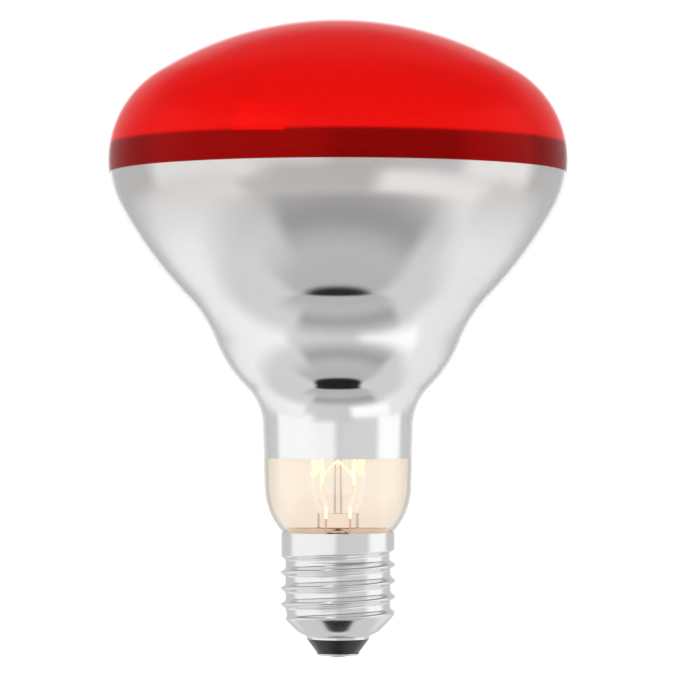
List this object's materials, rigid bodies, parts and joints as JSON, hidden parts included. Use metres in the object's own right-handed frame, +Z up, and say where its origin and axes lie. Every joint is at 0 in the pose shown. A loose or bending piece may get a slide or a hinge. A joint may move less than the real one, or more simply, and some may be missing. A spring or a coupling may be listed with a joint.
{
  "type": "infrared heat lamp bulb",
  "caption": "Reflector heat lamp bulb: red domed face, mirror-coated cone and neck, coiled ring filament on a glass mount, and a metal screw cap with a centre contact.",
  "frame": {"origin": "on the axis, at the flat land of the centre solder, the lowest point", "axes": "+Z up the axis from the cap to the red dome, -Y towards the picture's viewer, +X to the viewer's right"},
  "size_m": [0.1046, 0.1046, 0.1448],
  "materials": {
    "clear_glass": "clear polished",
    "mirror_film": "polished",
    "red_stain": "clear red stain, glossy",
    "stem_glass": "clear polished",
    "seal_wire": "copper-clad sealing wire",
    "lead_wire": "nickel-plated wire",
    "filament": "drawn tungsten",
    "support_wire": "molybdenum wire",
    "copper_wire": "copper wire",
    "cap_sheet": "bright drawn sheet",
    "black_glass": "black glossy",
    "contact_brass": "tinned, bright",
    "solder": "tin solder, soft sheen",
    "cement": "baked cement, matt"
  },
  "bodies": {
    "root": {"glass_bulb": "clear_glass", "mirror_coating": "mirror_film", "red_coating": "red_stain", "stem": "stem_glass", "exhaust_tube": "stem_glass", "mount_rod": "stem_glass", "seal_wire_left": "seal_wire", "seal_wire_right": "seal_wire", "inner_lead_left": "lead_wire", "inner_lead_right": "lead_wire", "filament": "filament", "support_wire_1": "support_wire", "support_wire_2": "support_wire", "support_wire_3": "support_wire", "support_wire_4": "support_wire", "support_wire_5": "support_wire", "support_wire_6": "support_wire", "support_wire_7": "support_wire", "outer_lead_centre": "copper_wire", "outer_lead_side": "copper_wire", "screw_shell": "cap_sheet", "insulator": "black_glass", "centre_contact": "contact_brass", "centre_solder": "solder", "side_solder": "solder", "basing_cement": "cement"}
  },
  "joints": []
}
